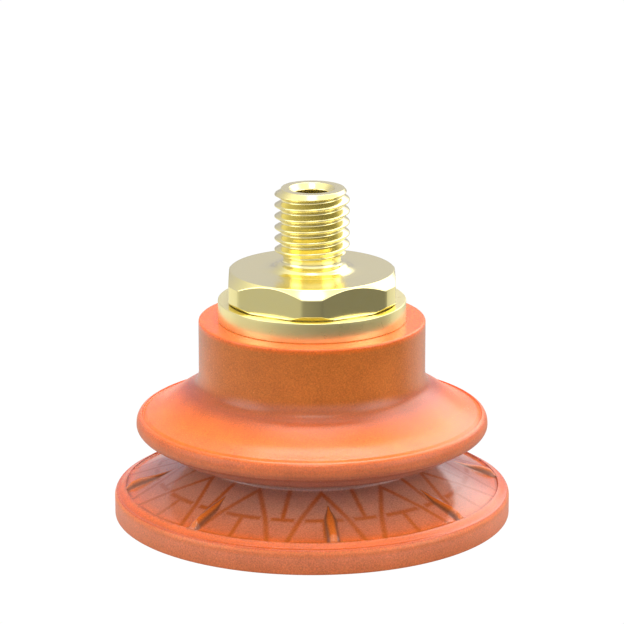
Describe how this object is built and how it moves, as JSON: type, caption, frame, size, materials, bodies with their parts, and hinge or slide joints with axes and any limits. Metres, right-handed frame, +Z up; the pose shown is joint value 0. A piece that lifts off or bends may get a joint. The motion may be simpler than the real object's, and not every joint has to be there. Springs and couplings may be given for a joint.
{
  "type": "vacuum suction cup",
  "caption": "Round bellows suction cup in translucent orange polyurethane, one and a half folds, with a brass hexagon fitting and male thread.",
  "frame": {"origin": "on the cup's axis, in the plane of the sealing edge, which is the bottom of the part", "axes": "+Z up along the axis, out of the male thread; -Y is the front, where a corner of the hexagon points; +X is right"},
  "size_m": [0.053, 0.053, 0.0445],
  "materials": {
    "brass": "pale turned brass, semi-bright",
    "cup_polyurethane": "translucent orange polyurethane, satin",
    "seal_rubber": "black nitrile, satin",
    "stainless": "rolled stainless strip"
  },
  "bodies": {
    "fitting": {"threaded_nipple": "brass", "clamp_flange": "brass", "flange_seal": "seal_rubber", "stem_seal": "seal_rubber", "retaining_nut": "brass", "filter_screen": "stainless", "filter_clip": "stainless", "cup_collar": "cup_polyurethane", "upper_fold_wall": "cup_polyurethane"},
    "ridge": {"bellows_ridge": "cup_polyurethane", "lower_fold_wall": "cup_polyurethane"},
    "waist": {"waist_ring": "cup_polyurethane"},
    "throat": {"skirt_throat": "cup_polyurethane"},
    "lip": {"lip_skirt": "cup_polyurethane", "lip_bead": "cup_polyurethane", "skirt_ribs": "cup_polyurethane", "cleat_legs": "cup_polyurethane", "cleat_bars": "cup_polyurethane"}
  },
  "joints": [
    {"name": "upper_fold", "type": "slide", "parent": "fitting", "child": "ridge", "axis": [0, 0, 1], "range_m": [0, 0.0045], "stiffness_N_per_m": 600, "springref_m": -0.002, "deforming": ["upper_fold_wall"]},
    {"name": "lower_fold", "type": "slide", "parent": "ridge", "child": "waist", "axis": [0, 0, 1], "range_m": [0, 0.00255], "stiffness_N_per_m": 1090, "springref_m": -0.0011, "deforming": ["lower_fold_wall"]},
    {"name": "tilt_fore_aft", "type": "hinge", "parent": "waist", "child": "throat", "pos_m": [0, 0, 0.0074], "axis": [1, 0, 0], "range_deg": [-4, 4], "stiffness_Nm_per_rad": 0.04},
    {"name": "tilt_sideways", "type": "hinge", "parent": "throat", "child": "lip", "pos_m": [0, 0, 0.0074], "axis": [0, 1, 0], "range_deg": [-4, 4], "stiffness_Nm_per_rad": 0.04}
  ],
  "couplings": [
    {"joint": "lower_fold", "follows": "upper_fold", "ratio": 0.55}
  ]
}
